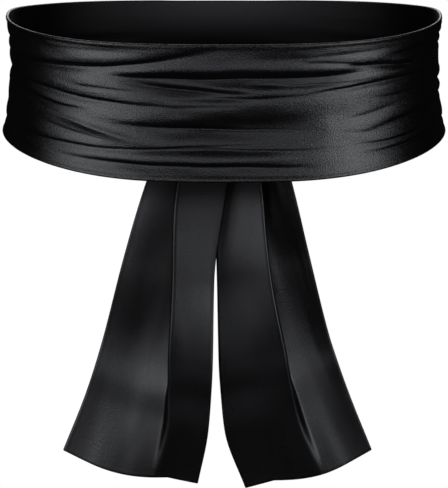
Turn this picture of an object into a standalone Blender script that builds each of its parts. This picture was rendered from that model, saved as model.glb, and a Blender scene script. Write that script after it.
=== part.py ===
"""Satin waist sash as it is worn: a gathered band, a knot at the back and two hanging tails.

Metres, +Z up, the front towards -Y. The origin is the centre of the waist ring,
half way up the band at its sides. Azimuths are degrees round +Z from the front,
positive towards +X.
"""
from collections import namedtuple

import bpy
import numpy as np

MM = 0.001

# Waist ring
HALF_WIDTH_BOTTOM = 0.1392
HALF_WIDTH_MIDDLE = 0.1345
HALF_WIDTH_TOP = 0.1360
DEPTH_TO_WIDTH = 0.74
RING_EXPONENT = 2.45
SIDE_HALF_HEIGHT = 0.0358
FRONT_TOP_DIP = 0.0056
BACK_TOP_DIP = 0.0059
BACK_TOP_SHARE = 0.6
BACK_TOP_POWERS = (3.0, 20.0)
FRONT_BOTTOM_DIP = 0.0154
BACK_BOTTOM_RISE = 0.0127
FRONT_TOP_POWER = 6.0
FRONT_BOTTOM_POWER = 4.5
BACK_BOTTOM_POWER = 2.5

# Band wall
BAND_WALL = 0.0020
LEAST_WALL = 0.0011
HEM_HEIGHT = 0.0030
BAND_STATIONS = 60
BAND_OUTER_ROWS = 42
BAND_INNER_ROWS = 10
ROW_PULL = 0.7
ROW_SAMPLES = 241
ROLL_REACH = 3.5
CREASE_END_POWER = 1.2
INNER_CHECKS = 13

# Knot and tails
SEAM_GAP = 0.0003
KNOT_PRESS_FROM = 15.0
KNOT_PRESS_TO = 26.0
KNOT_TOP = 0.0262
KNOT_BOTTOM = -0.0248
KNOT_RECESS = 0.0065
KNOT_LIP = 0.0013
KNOT_FACE_LIP = 0.0008
KNOT_RECESS_INSET = 0.0018
KNOT_RECESS_FACE_INSET = 0.0015
KNOT_ARC_POINTS = 27
PLEAT_FADE = 0.16
KNOT_FACE_POINTS = 7
TAIL_ROOT = -0.0188
TAIL_WIDTH = 0.107
TAIL_WALL = 0.0012
FOLD_TURN = 0.0020
TAIL_ROWS = 22
TAIL_SAMPLES = 1071
HEM_BOW = 0.0057
HEM_BOW_END = 0.78
LEFT_TAIL_DEPTH = 0.1087
RIGHT_TAIL_DEPTH = 0.1195

# Edges sharper than this, in degrees, are shaded as edges
SHARP_EDGE = 50.0
BLACK = (0.012, 0.012, 0.013)

# Creases of the gathered band, one row each. Heights are shares of the band's
# height at the first azimuth, half way and at the last one. Depth, the widths
# of the groove above and below its line, and the roll above it are in mm.
# A negative depth is a ridge.
Crease = namedtuple("Crease", "place first last h_first h_half h_last depth above below roll")
CREASES = [
    Crease("front bottom, long", -58, 36, 0.090, 0.102, 0.072, 2.0, 1.7, 4.2, 0.5),
    Crease("front bottom, fine", -28, 38, 0.226, 0.219, 0.214, 0.9, 0.9, 2.6, 0.2),
    Crease("front lower, long", -96, 34, 0.120, 0.213, 0.286, 0.8, 1.0, 2.6, 0.3),
    Crease("front belly", -29, 34, 0.388, 0.370, 0.362, 4.3, 7.8, 10.0, 0.0),
    Crease("front belly, left", -38, 8, 0.398, 0.382, 0.370, 1.3, 1.4, 5.5, 0.6),
    Crease("front middle, fine", -24, 36, 0.600, 0.602, 0.632, 0.6, 0.9, 1.8, 0.3),
    Crease("right middle", 26, 78, 0.612, 0.668, 0.600, 1.6, 1.1, 2.2, 0.7),
    Crease("left middle", -88, -16, 0.610, 0.575, 0.530, 1.2, 1.0, 3.0, 0.4),
    Crease("left short", -80, -42, 0.585, 0.485, 0.475, 1.5, 1.3, 3.2, 0.5),
    Crease("left ridge", -60, -24, 0.430, 0.345, 0.250, -1.2, 2.6, 2.6, 0.0),
    Crease("front upper trough", -35, 12, 0.714, 0.658, 0.634, 3.2, 2.3, 5.0, 0.2),
    Crease("front main", -46, 54, 0.753, 0.746, 0.766, 3.8, 2.5, 5.4, 0.9),
    Crease("front main, fine", 4, 50, 0.706, 0.698, 0.698, 0.6, 0.8, 1.5, 0.2),
    Crease("left upper", -98, 4, 0.741, 0.800, 1.002, 1.9, 1.2, 3.6, 0.7),
    Crease("right upper", 38, 68, 0.825, 0.788, 0.700, 1.8, 1.2, 2.2, 0.8),
    Crease("right rim", 48, 108, 0.855, 0.880, 0.845, 1.9, 1.3, 2.2, 0.7),
    Crease("right top, short", 54, 106, 0.782, 0.800, 0.770, 1.3, 1.2, 2.0, 0.6),
    Crease("right hip", 62, 128, 0.500, 0.468, 0.450, 2.2, 1.6, 2.8, 1.0),
    Crease("right lower", 42, 114, 0.290, 0.368, 0.320, 2.0, 1.3, 2.6, 0.9),
    Crease("right bottom, fine", 40, 74, 0.212, 0.198, 0.216, 1.0, 1.0, 1.8, 0.4),
    Crease("right bottom", 40, 112, 0.132, 0.130, 0.104, 1.7, 1.2, 2.2, 0.7),
    Crease("left rim", -132, -68, 0.830, 0.852, 0.858, 2.0, 1.2, 2.4, 0.8),
    Crease("left side trough", -128, -70, 0.560, 0.585, 0.592, 1.9, 3.6, 4.6, 0.3),
    Crease("left side bottom", -136, -74, 0.200, 0.165, 0.100, 1.6, 1.2, 2.4, 0.8),
    Crease("back right, top", 104, 171, 0.845, 0.800, 0.760, 1.7, 1.3, 2.4, 0.8),
    Crease("back right, upper", 94, 170, 0.690, 0.665, 0.630, 2.4, 1.5, 2.8, 1.1),
    Crease("back right, middle", 108, 172, 0.480, 0.500, 0.505, 2.6, 1.6, 3.0, 1.2),
    Crease("back right, short", 132, 170, 0.600, 0.590, 0.565, 1.2, 1.0, 1.8, 0.5),
    Crease("back right, lower", 96, 171, 0.300, 0.345, 0.400, 2.0, 1.4, 2.6, 0.9),
    Crease("back right, bottom", 106, 168, 0.140, 0.190, 0.285, 1.7, 1.2, 2.4, 0.8),
    Crease("back left, top", -170, -112, 0.780, 0.830, 0.790, 1.5, 1.2, 2.2, 0.7),
    Crease("back left, upper", -172, -90, 0.660, 0.700, 0.740, 2.5, 1.5, 2.8, 1.1),
    Crease("back left, middle", -171, -98, 0.530, 0.510, 0.455, 2.2, 1.6, 3.0, 1.0),
    Crease("back left, fine", -168, -124, 0.440, 0.430, 0.410, 1.1, 1.0, 1.8, 0.5),
    Crease("back left, lower", -171, -88, 0.360, 0.320, 0.290, 2.4, 1.4, 2.8, 1.0),
    Crease("back left, bottom", -166, -104, 0.250, 0.175, 0.150, 1.5, 1.2, 2.2, 0.7),
]

# Knot, from its top to its lower lip: height as a share, half width and how far
# it stands out from the band, in mm, and how round its outside is in plan.
KnotRing = namedtuple("KnotRing", "level half_width stand roundness")
KNOT_RINGS = [
    KnotRing(1.00, 14.0, 4.0, 0.80),
    KnotRing(0.965, 20.0, 10.0, 0.78),
    KnotRing(0.90, 24.6, 16.0, 0.74),
    KnotRing(0.80, 27.8, 21.6, 0.68),
    KnotRing(0.67, 29.6, 26.0, 0.60),
    KnotRing(0.53, 30.2, 29.0, 0.52),
    KnotRing(0.39, 30.0, 30.4, 0.45),
    KnotRing(0.25, 29.4, 30.6, 0.38),
    KnotRing(0.12, 28.9, 30.2, 0.32),
    KnotRing(0.03, 28.8, 29.8, 0.29),
    KnotRing(0.00, 28.6, 29.4, 0.28),
]

# Pleats that run down over the knot: where they start and end round its outside,
# in degrees from its +X side, and their depth and half width, in mm and degrees.
Pleat = namedtuple("Pleat", "top bottom depth width")
KNOT_PLEATS = [
    Pleat(50, 38, 2.0, 8),
    Pleat(80, 68, 2.8, 9),
    Pleat(99, 100, 2.1, 7),
    Pleat(124, 139, 2.6, 9),
]

# Tails, one row for each section down the tail. Share of the length, the two
# edges' x and z in mm, how far across the cloth the pleat turns back and turns
# in again, in mm, and the cloth's heading in plan, in degrees, at the outer
# panel's stops, in the pleat and at the inner panel's stops. A heading of 0
# runs inwards, a negative one turns towards the front.
TailSection = namedtuple(
    "TailSection", "down outer_x inner_x outer_z inner_z back_fold front_fold outer pleat inner")
OUTER_STOPS = (0.0, 0.12, 0.30, 0.60, 1.0)
INNER_STOPS = (0.0, 0.45, 1.0)
LEFT_TAIL = [
    TailSection(0.00, -23.5, 12.5, 0, 0, 43, 77, (0, 2, 2, 3, 4), -177, (2, 2, 2)),
    TailSection(0.12, -35.0, 8.5, -32, -33, 42, 72, (-11, -6, -4, 3, 9), -171, (8, 8, 8)),
    TailSection(0.30, -53.0, 0.4, -79, -86, 45, 70, (-13, -9, -6, 2, 13), -165, (14, 14, 14)),
    TailSection(0.50, -68.5, -7.2, -132, -144, 55, 75, (-13, -9, -5, -7, 8), -162, (15, 15, 13)),
    TailSection(0.70, -82.0, -8.4, -185, -203, 61, 72, (-9, -7, -7, -14, -14), -150, (7, 6, 5)),
    TailSection(0.78, -88.3, -9.6, -206.5, -226, 65, 70, (-9, -6, -8, -12, -13), -108, (4, 3, 3)),
    TailSection(0.86, -95.5, -11.5, -228, -249, 68, 73, (-8, -5, -10, -11, -12), -60, (1, 2, 2)),
    TailSection(1.00, -110.4, -18.6, -265, -286, 70, 74, (-5, -8, -12, -7, -4), -3, (-1, 1, 4)),
]
RIGHT_TAIL = [
    TailSection(0.00, 22.8, -12.5, 0, 0, 43, 77, (0, 2, 2, 3, 4), -177, (2, 2, 2)),
    TailSection(0.12, 32.5, -9.5, -32, -33, 42, 73, (-10, 4, 26, 8, 6), -170, (6, 5, 2)),
    TailSection(0.30, 46.0, -6.0, -79, -86, 46, 70, (-12, 6, 40, 12, 8), -162, (15, 12, 2)),
    TailSection(0.50, 58.5, -4.2, -132, -144, 47, 66, (-14, 40, 3, -11, 4), -160, (17, 14, 2)),
    TailSection(0.70, 71.5, -3.0, -185, -203, 43, 55, (-12, 22, -8, -12, -13), -150, (14, 4, 0)),
    TailSection(0.78, 78.6, -1.4, -207, -227.5, 41, 47, (-11, 14, -6, -11, -12), -108, (10, 2, 0)),
    TailSection(0.86, 86.5, 1.2, -229, -252, 40, 45, (-10, 6, -4, -11, -11), -60, (3, 0, 1)),
    TailSection(1.00, 101.7, 15.3, -267, -293, 39, 43, (-4, -4, -7, -12, -7), -4, (0, 1, 4)),
]
# Columns of faces in each span between the tails' stops and folds
TAIL_SPAN_COLUMNS = (2, 2, 3, 3, 3, 2, 3, 3, 4)


def half_width(level):
    """Half width of the ring at a share of the band's height."""
    bottom = HALF_WIDTH_BOTTOM * (1 - level) * (1 - 2 * level)
    middle = HALF_WIDTH_MIDDLE * 4 * level * (1 - level)
    top = HALF_WIDTH_TOP * level * (2 * level - 1)
    return bottom + middle + top


def edge_heights(azimuth):
    """Heights of the band's bottom and top edges at an azimuth."""
    sine = np.abs(np.sin(np.radians(azimuth)))
    front = np.cos(np.radians(azimuth)) > 0
    front_top = FRONT_TOP_DIP * (1 - sine ** FRONT_TOP_POWER)
    slow, fast = (sine ** power for power in BACK_TOP_POWERS)
    back_top = BACK_TOP_DIP * (1 - BACK_TOP_SHARE * slow - (1 - BACK_TOP_SHARE) * fast)
    top = SIDE_HALF_HEIGHT - np.where(front, front_top, back_top)
    front_bottom = -FRONT_BOTTOM_DIP * (1 - sine ** FRONT_BOTTOM_POWER)
    back_bottom = BACK_BOTTOM_RISE * (1 - sine ** BACK_BOTTOM_POWER)
    bottom = -SIDE_HALF_HEIGHT + np.where(front, front_bottom, back_bottom)
    return bottom, top


def fold_line(crease, azimuth):
    """Level of a crease's line and its strength at an azimuth."""
    share = np.clip((azimuth - crease.first) / (crease.last - crease.first), 0, 1)
    first = crease.h_first * (1 - share) * (1 - 2 * share)
    half_way = crease.h_half * 4 * share * (1 - share)
    last = crease.h_last * share * (2 * share - 1)
    strength = np.sin(np.pi * share) ** CREASE_END_POWER
    return first + half_way + last, strength


def relief(azimuth, level):
    """How far the gathered cloth stands out from the plain ring, in metres."""
    bottom, top = edge_heights(azimuth)
    height = top - bottom
    total = np.zeros_like(level)
    for crease in CREASES:
        line, strength = fold_line(crease, azimuth)
        above_line = (level - line) * height / MM
        width = np.where(above_line > 0, crease.above, crease.below)
        groove = crease.depth * np.exp(-(above_line / width) ** 2)
        roll_middle = crease.above + ROLL_REACH
        roll = crease.roll * np.exp(-((above_line - roll_middle) / ROLL_REACH) ** 2)
        total += strength * (roll - groove)
    from_knot = (180 - np.abs(azimuth) - KNOT_PRESS_FROM) / (KNOT_PRESS_TO - KNOT_PRESS_FROM)
    total = np.where(total > 0, total * smooth(from_knot), total)
    to_edge = np.minimum(level, 1 - level) * height / HEM_HEIGHT
    return total * MM * smooth(to_edge)


def smooth(share):
    """Smooth step from 0 to 1."""
    share = np.clip(share, 0, 1)
    return share * share * (3 - 2 * share)


def ring_point(azimuth, level, offset):
    """Points of the ring, moved out along its horizontal normal by an offset."""
    half = half_width(level)
    deep = half * DEPTH_TO_WIDTH
    sine = np.sin(np.radians(azimuth))
    cosine = np.cos(np.radians(azimuth))
    reach = np.abs(sine / half) ** RING_EXPONENT + np.abs(cosine / deep) ** RING_EXPONENT
    radius = reach ** (-1 / RING_EXPONENT)
    x = radius * sine
    y = -radius * cosine
    normal_x = np.sign(x) * np.abs(x / half) ** (RING_EXPONENT - 1) / half
    normal_y = np.sign(y) * np.abs(y / deep) ** (RING_EXPONENT - 1) / deep
    length = np.hypot(normal_x, normal_y)
    bottom, top = edge_heights(azimuth)
    z = bottom + (top - bottom) * level
    return np.stack([x + offset * normal_x / length, y + offset * normal_y / length, z], -1)


def crease_rows(azimuths, rows):
    """Levels of the outer rows, drawn together near the creases, at each azimuth."""
    fine = np.linspace(0, 1, ROW_SAMPLES)
    az, level = np.meshgrid(azimuths, fine)
    bottom, top = edge_heights(az)
    height = (top - bottom) / MM
    density = np.ones_like(level)
    for crease in CREASES:
        line, strength = fold_line(crease, az)
        from_line = (level - line) * height / (crease.above + crease.below)
        density += ROW_PULL * strength * abs(crease.depth) * np.exp(-from_line ** 2)
    total = np.cumsum(density, axis=0)
    total = (total - total[0]) / (total[-1] - total[0])
    wanted = np.linspace(0, 1, rows + 1)
    columns = [np.interp(wanted, total[:, i], fine) for i in range(len(azimuths))]
    return np.stack(columns, 1)


def band_mesh():
    """Closed wall of the band: gathered outside, nearly plain inside."""
    azimuths = np.linspace(-180, 180, BAND_STATIONS, endpoint=False)
    outer_levels = crease_rows(azimuths, BAND_OUTER_ROWS)
    outer_az = np.broadcast_to(azimuths, outer_levels.shape)
    outer = ring_point(outer_az, outer_levels, relief(outer_az, outer_levels))

    inner_levels = np.repeat(np.linspace(0, 1, BAND_INNER_ROWS + 1)[:, None], BAND_STATIONS, axis=1)
    inner_az = np.broadcast_to(azimuths, inner_levels.shape)
    deepest = relief(inner_az, inner_levels)
    for step in np.linspace(-1, 1, INNER_CHECKS) / BAND_INNER_ROWS:
        for turn in (-180 / BAND_STATIONS, 0, 180 / BAND_STATIONS):
            near = np.clip(inner_levels + step, 0, 1)
            deepest = np.minimum(deepest, relief(inner_az + turn, near))
    inner = ring_point(inner_az, inner_levels, np.minimum(-BAND_WALL, deepest - LEAST_WALL))

    points = np.concatenate([outer.reshape(-1, 3), inner.reshape(-1, 3)])
    inner_start = outer.shape[0] * BAND_STATIONS
    faces = []
    for row in range(BAND_OUTER_ROWS):
        faces += ring_faces(row * BAND_STATIONS, (row + 1) * BAND_STATIONS, BAND_STATIONS)
    for row in range(BAND_INNER_ROWS):
        low = inner_start + row * BAND_STATIONS
        faces += ring_faces(low + BAND_STATIONS, low, BAND_STATIONS)
    outer_top = BAND_OUTER_ROWS * BAND_STATIONS
    inner_top = inner_start + BAND_INNER_ROWS * BAND_STATIONS
    faces += ring_faces(outer_top, inner_top, BAND_STATIONS)
    faces += ring_faces(inner_start, 0, BAND_STATIONS)
    return points, faces


def ring_faces(first, second, count):
    """Quads between two closed rows of points, the second row above the first."""
    faces = []
    for i in range(count):
        j = (i + 1) % count
        faces.append((first + i, first + j, second + j, second + i))
    return faces


def back_face(x, z):
    """The plain ring's y at the back, for the knot that lies on it."""
    bottom, top = edge_heights(np.float64(180.0))
    level = np.clip((z - bottom) / (top - bottom), 0, 1)
    half = half_width(level)
    return half * DEPTH_TO_WIDTH * (1 - np.abs(x / half) ** RING_EXPONENT) ** (1 / RING_EXPONENT)


def knot_ring(ring, z, lip=0.0, face_lip=0.0):
    """One closed ring of the knot: a pleated outside and a face that follows the band."""
    points = []
    half = ring.half_width * MM - lip
    pleated = smooth((1 - ring.level) / PLEAT_FADE)
    for angle in np.linspace(0, np.pi, KNOT_ARC_POINTS):
        stand = (ring.stand * MM - lip) * np.sin(angle) ** ring.roundness
        for pleat in KNOT_PLEATS:
            line = pleat.bottom + (pleat.top - pleat.bottom) * ring.level
            from_line = (np.degrees(angle) - line) / pleat.width
            stand -= pleated * pleat.depth * MM * np.exp(-from_line ** 2)
        x = half * np.cos(angle)
        points.append((x, back_face(x, z) + SEAM_GAP + max(stand, face_lip), z))
    for x in np.linspace(-half, half, KNOT_FACE_POINTS + 2)[1:-1]:
        points.append((x, back_face(x, z) + SEAM_GAP + face_lip, z))
    return points


def knot_mesh():
    """Closed solid of the knot, with a recess under its lip for the tails' roots."""
    rings = []
    for ring in KNOT_RINGS:
        z = KNOT_BOTTOM + (KNOT_TOP - KNOT_BOTTOM) * ring.level
        rings.append(knot_ring(ring, z))
    rings.append(knot_ring(KNOT_RINGS[-1], KNOT_BOTTOM, KNOT_LIP, KNOT_FACE_LIP))
    recess_top = KNOT_BOTTOM + KNOT_RECESS
    rings.append(knot_ring(KNOT_RINGS[-1], recess_top, KNOT_RECESS_INSET, KNOT_RECESS_FACE_INSET))
    count = len(rings[0])
    points = [point for ring in rings for point in ring]
    faces = []
    for row in range(len(rings) - 1):
        faces += ring_faces((row + 1) * count, row * count, count)
    faces.append(tuple(range(count)))
    faces.append(tuple(range(len(points) - 1, len(points) - 1 - count, -1)))
    return np.array(points), faces


def tail_row(share, section_row, heading_row, depth, side):
    """One section of a tail: its points and its plan normals, from the outer edge inwards.

    The cloth's heading is added up across its width, so that its folded layers
    keep their lengths, and the section is then set between the tail's edges.
    """
    outer_x, inner_x, outer_z, inner_z, back_fold, front_fold = section_row * MM
    turn = min(FOLD_TURN, (front_fold - back_fold) / 2)
    outer_stops = (back_fold - turn) * np.array(OUTER_STOPS)
    inner_stops = front_fold + turn + (TAIL_WIDTH - front_fold - turn) * np.array(INNER_STOPS)
    stops = np.concatenate([outer_stops, [back_fold + turn, front_fold - turn], inner_stops])
    fine = np.linspace(0, TAIL_WIDTH, TAIL_SAMPLES)
    heading = eased(np.interp(fine, stops, np.radians(heading_row)))
    step = fine[1] - fine[0]
    run_x = np.concatenate([[0], np.cumsum(np.cos(heading[:-1]) * step)])
    run_y = np.concatenate([[0], np.cumsum(np.sin(heading[:-1]) * step)])
    width = abs(inner_x - outer_x)
    run_x = run_x * width / run_x[-1]
    outer_middle = run_y[fine < outer_stops[-1]].mean()
    inner_middle = run_y[fine > inner_stops[0]].mean()
    run_y = run_y - (outer_middle + inner_middle) / 2
    across = []
    for i, columns in enumerate(TAIL_SPAN_COLUMNS):
        across.append(np.linspace(stops[i], stops[i + 1], columns, endpoint=False))
    across = np.append(np.concatenate(across), TAIL_WIDTH)
    x = np.interp(across, fine, run_x)
    y = np.interp(across, fine, run_y)
    turned = np.interp(across, fine, heading)
    along = np.clip(x / width, 0, 1)
    bow = HEM_BOW * share ** 2 * np.sin(np.pi * np.minimum(along / HEM_BOW_END, 1))
    z = TAIL_ROOT + outer_z + (inner_z - outer_z) * along - bow
    points = np.stack([outer_x - side * x, depth + y, z], -1)
    normals = np.stack([-side * np.sin(turned), -np.cos(turned), np.zeros_like(x)], -1)
    return points, normals


def eased(heading):
    """Headings across the cloth with their corners rounded off."""
    reach = round(FOLD_TURN / 2 / TAIL_WIDTH * TAIL_SAMPLES)
    padded = np.pad(heading, reach, mode="edge")
    return np.convolve(padded, np.full(2 * reach + 1, 1 / (2 * reach + 1)), mode="valid")


def tail_grid(sections, rows, depth, side):
    """Mid surface of a tail and its plan normals, as rows of points from root to hem."""
    down = np.array([section.down for section in sections])
    edges = np.array([section[1:7] for section in sections], float)
    headings = [section.outer + (section.pleat, section.pleat) + section.inner for section in sections]
    headings = np.array(headings, float)
    points = []
    normals = []
    for share in np.linspace(0, 1, rows + 1):
        section_row = smooth_read(down, edges, share)
        heading_row = smooth_read(down, headings, share)
        row_points, row_normals = tail_row(share, section_row, heading_row, depth, side)
        points.append(row_points)
        normals.append(row_normals)
    return np.array(points), np.array(normals)


def smooth_read(places, values, place):
    """Values of a table at a place, on a smooth curve through its rows that never overshoots them."""
    row = int(np.clip(np.searchsorted(places, place) - 1, 0, len(places) - 2))
    secants = np.diff(values, axis=0) / np.diff(places)[:, None]
    product = secants[:-1] * secants[1:]
    total = secants[:-1] + secants[1:]
    bends = np.where(product > 0, 2 * product / np.where(product > 0, total, 1), 0)
    slopes = np.concatenate([secants[:1], bends, secants[-1:]])
    gap = places[row + 1] - places[row]
    share = (place - places[row]) / gap
    first = values[row] * (1 + 2 * share) * (1 - share) ** 2 + slopes[row] * gap * share * (1 - share) ** 2
    second = values[row + 1] * share ** 2 * (3 - 2 * share) - slopes[row + 1] * gap * share ** 2 * (1 - share)
    return first + second


def tail_mesh(sections, depth, side):
    """Closed wall of one tail."""
    middle, normals = tail_grid(sections, TAIL_ROWS, depth, side)
    front = middle + normals * TAIL_WALL / 2
    back = middle - normals * TAIL_WALL / 2
    rows, columns = middle.shape[:2]
    points = np.concatenate([front.reshape(-1, 3), back.reshape(-1, 3)])
    back_start = rows * columns
    faces = []
    for row in range(rows - 1):
        for column in range(columns - 1):
            a = row * columns + column
            quad = (a, a + 1, a + columns + 1, a + columns)
            faces.append(quad)
            faces.append(tuple(back_start + i for i in reversed(quad)))
    rim = [i for i in range(columns)]
    rim += [row * columns + columns - 1 for row in range(1, rows)]
    rim += [(rows - 1) * columns + i for i in range(columns - 2, -1, -1)]
    rim += [row * columns for row in range(rows - 2, 0, -1)]
    for i, point in enumerate(rim):
        following = rim[(i + 1) % len(rim)]
        faces.append((following, point, back_start + point, back_start + following))
    if side < 0:
        faces = [tuple(reversed(face)) for face in faces]
    return points, faces


def satin(name, colour, roughness):
    """Principled material of black satin."""
    material = bpy.data.materials.new(name)
    material.use_nodes = True
    shader = material.node_tree.nodes["Principled BSDF"]
    shader.inputs["Base Color"].default_value = (*colour, 1.0)
    shader.inputs["Roughness"].default_value = roughness
    shader.inputs["Metallic"].default_value = 0.0
    return material


def add_piece(name, mesh_parts, material):
    """Object of one sewn or tied piece, from its points and faces."""
    points, faces = mesh_parts
    mesh = bpy.data.meshes.new(name)
    mesh.from_pydata([tuple(float(v) for v in point) for point in points], [], faces)
    mesh.materials.append(material)
    mesh.shade_smooth()
    mesh.set_sharp_from_angle(angle=np.radians(SHARP_EDGE))
    mesh.update()
    piece = bpy.data.objects.new(name, mesh)
    bpy.context.collection.objects.link(piece)
    return piece


def main():
    """Build the sash's four pieces."""
    for old in list(bpy.data.objects):
        bpy.data.objects.remove(old, do_unlink=True)
    left_tail = tail_mesh(LEFT_TAIL, LEFT_TAIL_DEPTH, -1)
    right_tail = tail_mesh(RIGHT_TAIL, RIGHT_TAIL_DEPTH, 1)
    add_piece("waist_band", band_mesh(), satin("band satin", BLACK, 0.38))
    add_piece("back_knot", knot_mesh(), satin("knot satin", BLACK, 0.40))
    add_piece("tail_left", left_tail, satin("left tail satin", BLACK, 0.42))
    add_piece("tail_right", right_tail, satin("right tail satin", BLACK, 0.42))


main()
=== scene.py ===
"""Looks of a black satin waist sash: a gathered band, its knot at the back and two hanging tails.

Metres, +Z up, the front towards -Y. Azimuths are degrees round +Z from the front,
positive towards +X. Levels are shares of the band's height at an azimuth.
"""

import math
from collections import namedtuple

import bpy
import numpy as np
from bpy.props import FloatProperty, FloatVectorProperty, IntProperty, PointerProperty
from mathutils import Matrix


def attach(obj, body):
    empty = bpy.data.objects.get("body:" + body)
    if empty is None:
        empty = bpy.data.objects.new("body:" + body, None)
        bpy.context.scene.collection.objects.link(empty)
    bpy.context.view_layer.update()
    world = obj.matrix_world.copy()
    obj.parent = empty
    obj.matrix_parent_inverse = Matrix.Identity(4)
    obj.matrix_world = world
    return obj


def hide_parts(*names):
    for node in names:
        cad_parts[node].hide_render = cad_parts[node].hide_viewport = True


bl_info = {
    "name": "Satin waist sash",
    "version": (1, 0, 0),
    "blender": (4, 5, 0),
    "location": "3D View > Sidebar > Sash",
    "description": "Builds a gathered satin sash, its knot, its tails and a studio round it",
    "category": "Add Mesh",
}

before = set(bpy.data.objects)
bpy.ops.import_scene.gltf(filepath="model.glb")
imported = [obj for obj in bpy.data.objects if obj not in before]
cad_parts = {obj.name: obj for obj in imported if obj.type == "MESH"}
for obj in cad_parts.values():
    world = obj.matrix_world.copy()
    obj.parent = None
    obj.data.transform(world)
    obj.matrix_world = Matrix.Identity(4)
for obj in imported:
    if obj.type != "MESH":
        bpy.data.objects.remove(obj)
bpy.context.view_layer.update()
MM = 0.001

# Waist ring, as the frame has it
HALF_WIDTH_BOTTOM = 0.1392
HALF_WIDTH_MIDDLE = 0.1345
HALF_WIDTH_TOP = 0.1360
DEPTH_TO_WIDTH = 0.74
RING_EXPONENT = 2.45
SIDE_HALF_HEIGHT = 0.0358
FRONT_TOP_DIP = 0.0056
BACK_TOP_DIP = 0.0059
BACK_TOP_SHARE = 0.6
BACK_TOP_POWERS = (3.0, 20.0)
FRONT_BOTTOM_DIP = 0.0154
BACK_BOTTOM_RISE = 0.0127
FRONT_TOP_POWER = 6.0
FRONT_BOTTOM_POWER = 4.5
BACK_BOTTOM_POWER = 2.5
ROLL_REACH = 3.5
# Painted light: the dull inside of the band is painted paler from this share of its height up, and from this azimuth
# round to the back, fading over this many degrees, as if lit over the front rim
INSIDE_LIT_FROM = 0.45
INSIDE_LIT_SIDE = 118.0
INSIDE_LIT_FADE = 60.0
# Painted shadow: the tails' fronts are mixed towards the dull black side from this height up, where the band shades
# them, fading over this height, by at most this share
SHADE_LOWEST = -0.115
SHADE_FADE = 0.020
SHADE_MOST = 0.85
CREASE_END_POWER = 1.2

# Knot and tails, as the frame has them
SEAM_GAP = 0.0003
KNOT_PRESS_FROM = 15.0
KNOT_PRESS_TO = 26.0
KNOT_TOP = 0.0262
KNOT_BOTTOM = -0.0248
KNOT_RECESS = 0.0065
KNOT_LIP = 0.0013
KNOT_FACE_LIP = 0.0008
KNOT_RECESS_INSET = 0.0018
KNOT_RECESS_FACE_INSET = 0.0015
PLEAT_FADE = 0.16
TAIL_ROOT = -0.0188
HEM_BOW = 0.0057
HEM_BOW_END = 0.78
LEFT_TAIL_DEPTH = 0.1087
RIGHT_TAIL_DEPTH = 0.1195

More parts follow.
